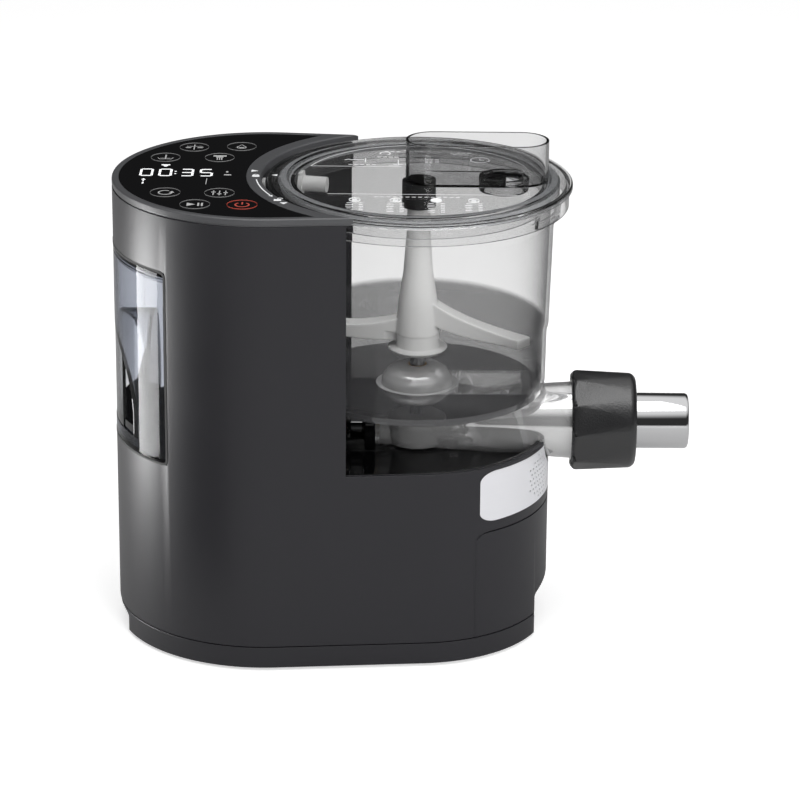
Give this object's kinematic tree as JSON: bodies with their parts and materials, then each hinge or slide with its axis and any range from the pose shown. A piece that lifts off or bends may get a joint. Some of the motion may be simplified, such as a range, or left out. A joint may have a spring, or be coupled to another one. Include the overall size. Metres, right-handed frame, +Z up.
{
  "type": "electric pasta maker",
  "caption": "Electric pasta maker: drive tower with touch panel and water tank, clear mixing bowl with paddle and lid, auger extruder with die nozzle, die drawer.",
  "frame": {"origin": "centre of the overall footprint on the standing surface", "axes": "+X from the drive tower towards the extruder nozzle, +Y to the back, +Z up"},
  "size_m": [0.3862, 0.2034, 0.339],
  "materials": {
    "shell": "satin anthracite moulded plastic",
    "trim": "satin grey frame",
    "tray": "glossy black moulding",
    "band": "fine satin aluminium",
    "rubber": "matt rubber",
    "steel": "turned steel",
    "polished": "polished steel",
    "bronze": "sintered bronze",
    "inner": "black inner moulding",
    "gear_nylon": "natural nylon",
    "board": "green circuit board",
    "glass": "black printed glass",
    "screen": "dark display window",
    "clear": "clear tough plastic",
    "smoke": "smoky clear plastic",
    "tank_clear": "bluish clear plastic",
    "white": "white moulded plastic",
    "silicone": "translucent silicone",
    "hose": "silicone hose",
    "copper": "insulated leads",
    "nut": "black grained plastic",
    "die": "off-white acetal"
  },
  "bodies": {
    "base": {"housing": "shell", "plinth": "shell", "rubber_feet": "rubber", "load_cells": "steel", "screws": "steel", "bowl_tray": "tray", "silver_band": "band", "blower_case": "inner", "outlet_duct": "inner", "drawer_rails": "inner", "top_frame": "trim", "touch_glass": "glass", "touch_springs": "polished", "control_board": "board", "display_module": "screen", "tank_bay": "inner", "tank_dock": "inner", "water_pump": "inner", "water_hoses": "hose", "water_outlet": "white", "gearbox_case": "inner", "gearbox_cover": "tray", "motor_can": "steel", "idler_pin": "steel", "shaft_bearings": "bronze", "power_board": "board", "wiring": "copper", "mains_inlet": "inner"},
    "blower_rotor": {"blower_wheel": "inner"},
    "drawer": {"drawer_front": "shell", "drawer_box": "inner", "spare_dies": "die"},
    "tank": {"water_tank": "tank_clear", "tank_cover": "tank_clear", "tank_handle": "tray"},
    "motor_shaft": {"motor_rotor": "steel"},
    "idler": {"idler_gear": "gear_nylon"},
    "drive_output": {"output_gear": "gear_nylon", "output_shaft": "steel", "drive_coupling": "polished"},
    "mixing_bowl": {"bowl": "clear", "extruder_tube": "clear", "rear_flange": "tray", "bowl_bushes": "bronze", "gear_dome": "clear"},
    "auger_set": {"auger": "white", "bevel_pinion": "steel"},
    "paddle_set": {"bevel_gear": "steel", "paddle_spindle": "steel", "paddle": "white"},
    "seal_ring": {"lid_seal": "silicone"},
    "lid_set": {"lid": "smoke", "lid_hopper": "smoke", "paddle_socket": "inner", "water_spout": "white"},
    "die_holder": {"die_cup": "polished", "die_plate": "die", "nozzle_seal": "silicone"},
    "nut": {"nozzle_nut": "nut"}
  },
  "joints": [
    {"name": "bowl_pull", "type": "slide", "parent": "base", "child": "mixing_bowl", "axis": [1, 0, 0], "range_m": [0, 0.12]},
    {"name": "lid_lift", "type": "slide", "parent": "mixing_bowl", "child": "seal_ring", "axis": [0, 0, 1], "range_m": [0, 0.12]},
    {"name": "lid_turn", "type": "hinge", "parent": "seal_ring", "child": "lid_set", "pos_m": [0.0099, 0, 0.3115], "axis": [0, 0, 1], "range_deg": [0, 40]},
    {"name": "nozzle_slide", "type": "slide", "parent": "mixing_bowl", "child": "die_holder", "axis": [1, 0, 0], "range_m": [0, 0.009]},
    {"name": "nut_turn", "type": "hinge", "parent": "die_holder", "child": "nut", "pos_m": [0.1409, 0, 0.1425], "axis": [1, 0, 0], "range_deg": [0, 270]},
    {"name": "drawer_pull", "type": "slide", "parent": "base", "child": "drawer", "axis": [1, 0, 0], "range_m": [0, 0.06]},
    {"name": "tank_pull", "type": "slide", "parent": "base", "child": "tank", "axis": [-1, 0, 0], "range_m": [0, 0.07]},
    {"name": "motor_spin", "type": "hinge", "parent": "base", "child": "motor_shaft", "pos_m": [-0.1005, 0, 0.06399], "axis": [1, 0, 0], "continuous": true},
    {"name": "idler_spin", "type": "hinge", "parent": "base", "child": "idler", "pos_m": [-0.1135, 0.0099, 0.0986], "axis": [1, 0, 0], "continuous": true},
    {"name": "output_spin", "type": "hinge", "parent": "base", "child": "drive_output", "pos_m": [-0.0353, 0, 0.1425], "axis": [1, 0, 0], "continuous": true},
    {"name": "auger_spin", "type": "hinge", "parent": "mixing_bowl", "child": "auger_set", "pos_m": [0.0099, 0, 0.1425], "axis": [1, 0, 0], "continuous": true},
    {"name": "paddle_spin", "type": "hinge", "parent": "mixing_bowl", "child": "paddle_set", "pos_m": [0.0099, 0, 0.169], "axis": [0, 0, 1], "continuous": true},
    {"name": "blower_spin", "type": "hinge", "parent": "base", "child": "blower_rotor", "pos_m": [0.0479, 0, 0.09895], "axis": [0, 0, 1], "continuous": true}
  ],
  "couplings": [
    {"joint": "idler_spin", "follows": "motor_spin", "ratio": -0.2},
    {"joint": "output_spin", "follows": "motor_spin", "ratio": 0.05},
    {"joint": "auger_spin", "follows": "motor_spin", "ratio": 0.05},
    {"joint": "paddle_spin", "follows": "motor_spin", "ratio": 0.03},
    {"joint": "nozzle_slide", "follows": "nut_turn", "m_per_rad": 0.0019099}
  ]
}
